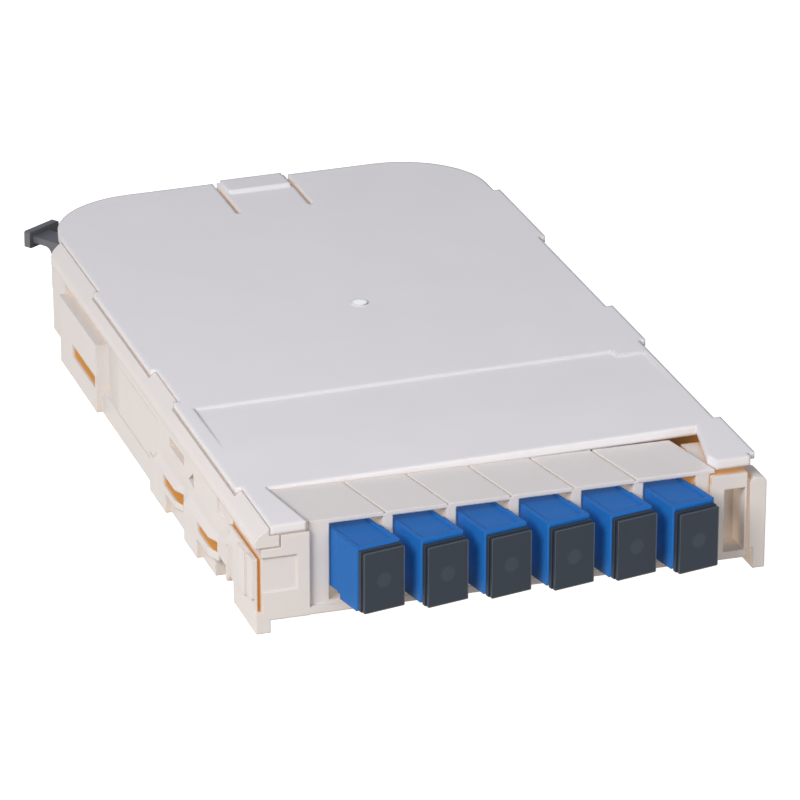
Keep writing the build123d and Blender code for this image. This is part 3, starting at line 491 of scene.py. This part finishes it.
# Past this Y are the slots beside the snap tab, the only ones in the lid where the painted glow in
# creases is amber
LID_SLOT_GLOW = "#C79A68"
SNAP_START = 72.0
# The painted highlight on the gate mark: its place, its radius and the share of it with the full
# colour
LID_GATE_HIGHLIGHT = "#F4F4F4"
GATE = (1.53, 16.7, 22.8)
GATE_R = 1.7
GATE_CORE = 0.75
lid_white = moulded_plastic("Cool white moulded polycarbonate", LID_WHITE, rough=0.5,
                            grain_mm=0.32, edge_mm=0.9, gloss=0.3, rim=LID_UPRIGHT_HIGHLIGHT,
                            crease=(LID_SHADED, LID_CREASE_GLOW), far_crease_glow=(SNAP_START, LID_SLOT_GLOW))
tree = lid_white.node_tree
place = add(tree, "ShaderNodeTexCoord").outputs["Object"]
to_gate = add(tree, "ShaderNodeVectorMath", {0: place, 1: Vector(GATE) * MM}, operation="DISTANCE")
gate_highlight = ramp(tree, to_gate.outputs["Value"], GATE_CORE * GATE_R * MM, GATE_R * MM, 1.0, 0.0)
paint_over(lid_white, gate_highlight, LID_GATE_HIGHLIGHT)
finish_node("lid", lid_white)


# Studio: a white floor that lights itself, like a light table, in a room that is cool above and
# warm below, a large soft light from the front left and a weak one from in front, and the camera
# where the photograph was taken, with a long lens.

FLOOR_HALF = 4.0
PAPER = "#BCBCBC"
PAPER_ROUGH = 0.9
PAPER_LIGHT = 0.9
WHITE = "#FFFFFF"
ROOM_ABOVE = (0.36, 0.37, 0.41, 1.0)
ROOM_BELOW = (0.38, 0.30, 0.19, 1.0)
ROOM_BLEND = 0.25
# Place in metres, side of the square in metres, watts
LIGHTS = {"soft_key": ((-0.83, -0.70, 0.70), 0.6, 17.5),
          "soft_fill": ((0.35, -1.1, 0.35), 0.5, 2.5)}
CAMERA_PLACE = (-293.800 * MM, -928.862 * MM, 415.595 * MM)
# Turn about Z, tilt down from level and roll about the view, in degrees
CAMERA_TURN, CAMERA_DOWN, CAMERA_ROLL = -17.823, 22.70, 0.09
LENS_MM = 233.424
SENSOR_MM = 36.0
CLIP = (0.05, 20.0)

paper = bpy.data.materials.new("White background paper")
paper.use_nodes = True
tree = paper.node_tree
tree.nodes.clear()
paper_shader = add(tree, "ShaderNodeBsdfPrincipled", {
    "Base Color": linear(PAPER), "Roughness": PAPER_ROUGH, "Specular IOR Level": 0.0,
    "Emission Color": linear(WHITE), "Emission Strength": PAPER_LIGHT})
add(tree, "ShaderNodeOutputMaterial", {"Surface": paper_shader.outputs[0]})
floor_mesh = bpy.data.meshes.new("studio_floor")
floor_corners = np.array([(-1, -1, 0), (1, -1, 0), (1, 1, 0), (-1, 1, 0)]) * FLOOR_HALF
floor_mesh.from_pydata(floor_corners.tolist(), [], [(0, 1, 2, 3)])
floor_mesh.materials.append(paper)
floor = bpy.data.objects.new("studio_floor", floor_mesh)
bpy.context.scene.collection.objects.link(floor)
floor.visible_diffuse = False

world = bpy.data.worlds.new("Studio room")
world.use_nodes = True
tree = world.node_tree
seen_from = add(tree, "ShaderNodeTexCoord").outputs["Generated"]
height = add(tree, "ShaderNodeSeparateXYZ", {0: seen_from}).outputs["Z"]
above = ramp(tree, height, -ROOM_BLEND, ROOM_BLEND)
tree.links.new(mix(tree, above, ROOM_BELOW, ROOM_ABOVE), tree.nodes["Background"].inputs["Color"])
tree.nodes["Background"].inputs["Strength"].default_value = 1.0
bpy.context.scene.world = world

for light_name, (light_place, size, power) in LIGHTS.items():
    light = bpy.data.lights.new(light_name, "AREA")
    light.size = size
    light.energy = power
    lamp = bpy.data.objects.new(light_name, light)
    lamp.location = light_place
    lamp.rotation_euler = (-Vector(light_place)).to_track_quat("-Z", "Y").to_euler()
    bpy.context.scene.collection.objects.link(lamp)

lens = bpy.data.cameras.new("camera")
lens.lens = LENS_MM
lens.sensor_width = SENSOR_MM
lens.clip_start, lens.clip_end = CLIP
camera = bpy.data.objects.new("camera", lens)
turns = [Matrix.Rotation(math.radians(angle), 4, axis)
         for angle, axis in ((CAMERA_TURN, "Z"), (90 - CAMERA_DOWN, "X"), (CAMERA_ROLL, "Z"))]
camera.matrix_world = Matrix.Translation(CAMERA_PLACE) @ (turns[0] @ turns[1] @ turns[2])
bpy.context.scene.collection.objects.link(camera)
bpy.context.scene.camera = camera
bpy.context.scene.view_settings.view_transform = "Standard"
